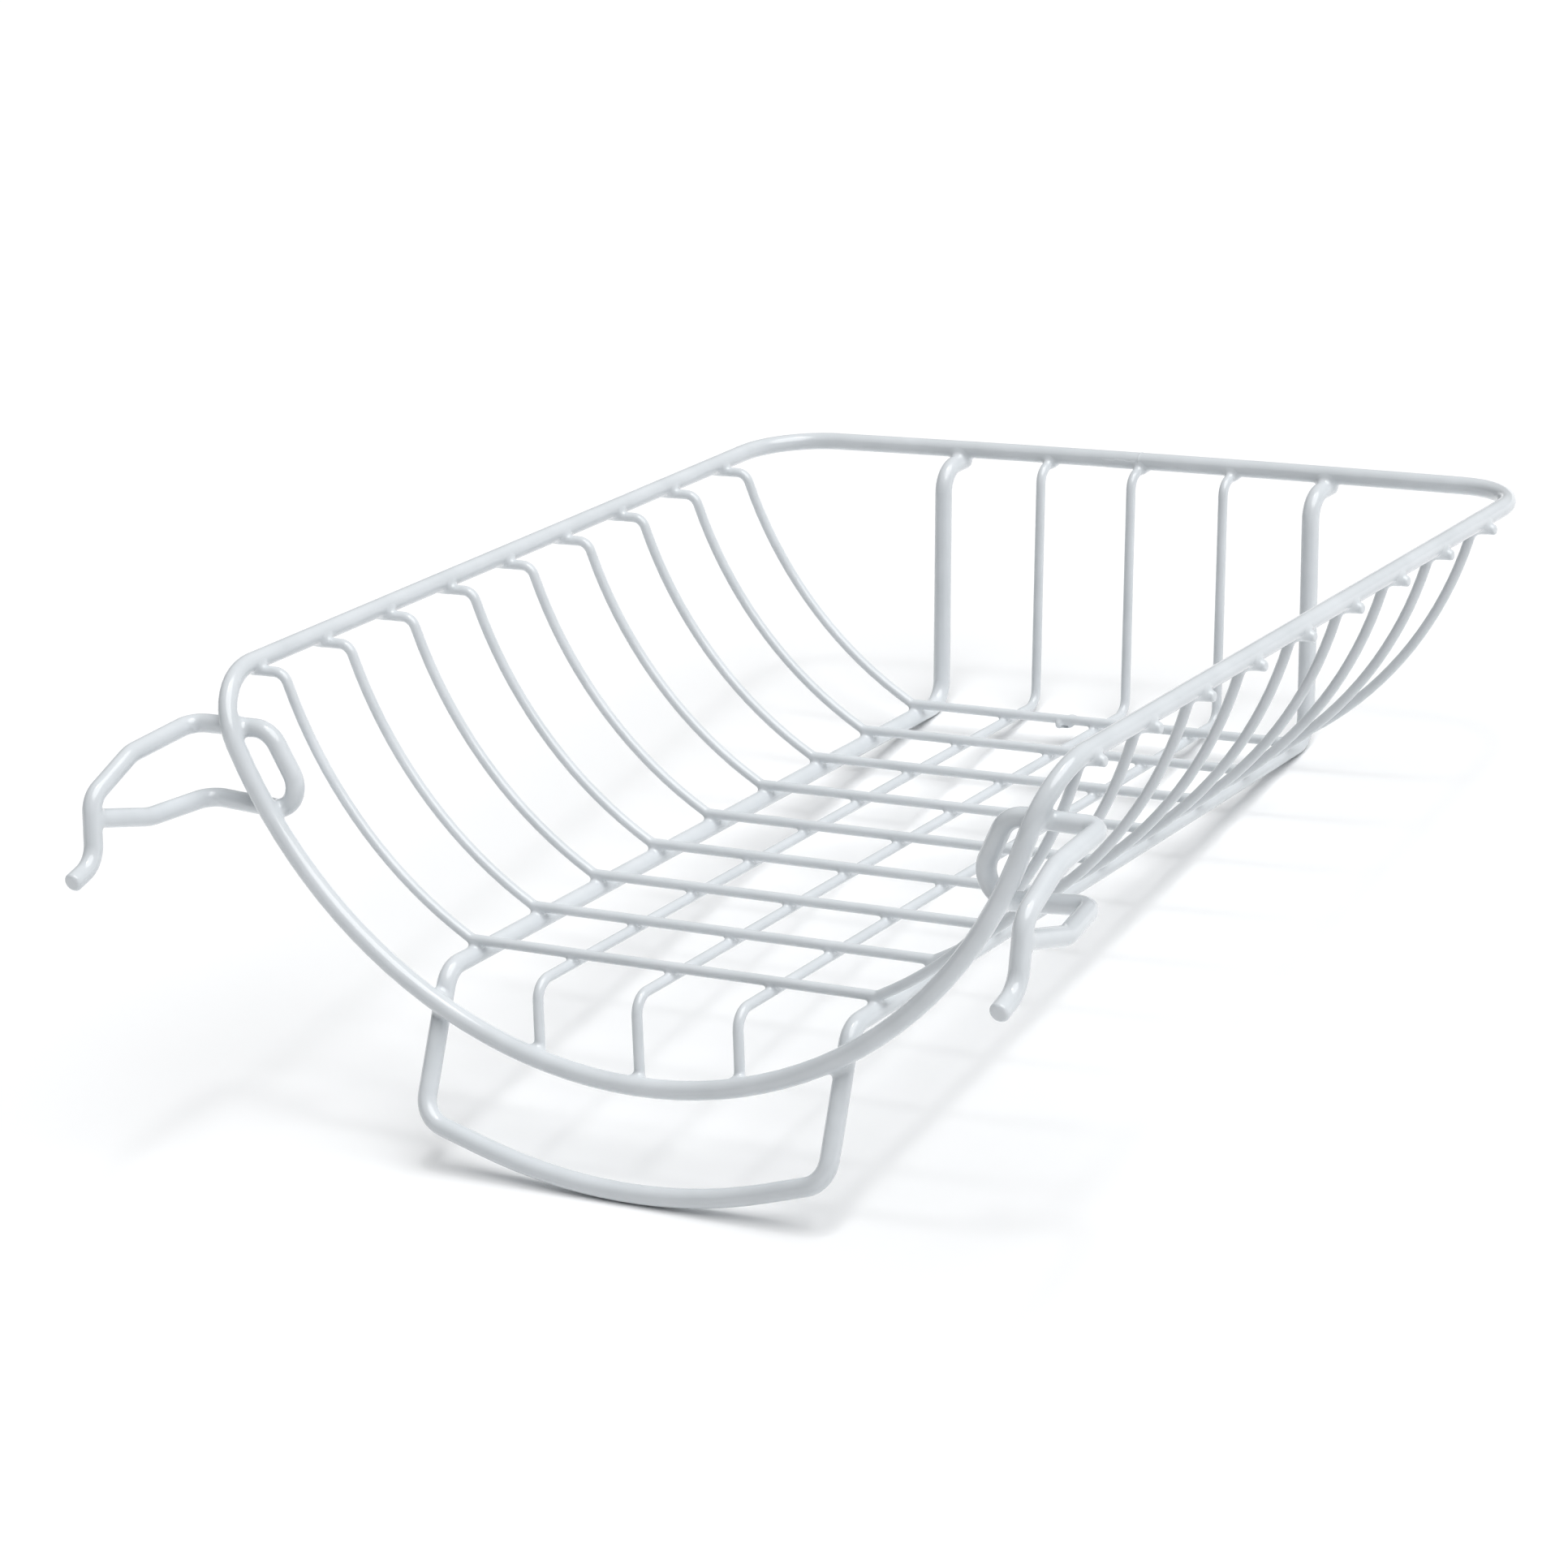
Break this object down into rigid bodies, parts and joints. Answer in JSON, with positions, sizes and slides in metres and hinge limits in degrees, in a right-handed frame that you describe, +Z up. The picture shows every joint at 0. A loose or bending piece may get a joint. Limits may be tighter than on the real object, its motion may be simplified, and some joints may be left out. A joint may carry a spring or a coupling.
{
  "type": "dish drying rack",
  "caption": "Curved wire dish drying rack in white coated steel, with a round front arc, a foot bar that tilts it to drain, and hooks for hanging it on a rail.",
  "frame": {"origin": "bottom centre of the bounding box, on the surface that the rack stands on", "axes": "+Z up with the rack standing on its foot bar and its two rear bends, +Y from the hooks to the back of the basket, +X across the basket to the right-hand hook"},
  "size_m": [0.3184, 0.3922, 0.1372],
  "materials": {
    "coating": "glossy dip-coated white"
  },
  "bodies": {
    "root": {"rim_frame": "coating", "foot_frame": "coating", "long_wire_left": "coating", "long_wire_middle": "coating", "long_wire_right": "coating", "cross_wire_1": "coating", "cross_wire_2": "coating", "cross_wire_3": "coating", "cross_wire_4": "coating", "cross_wire_5": "coating", "cross_wire_6": "coating", "cross_wire_7": "coating", "cross_wire_8": "coating", "cross_wire_9": "coating", "hook_left": "coating", "hook_right": "coating"}
  },
  "joints": []
}
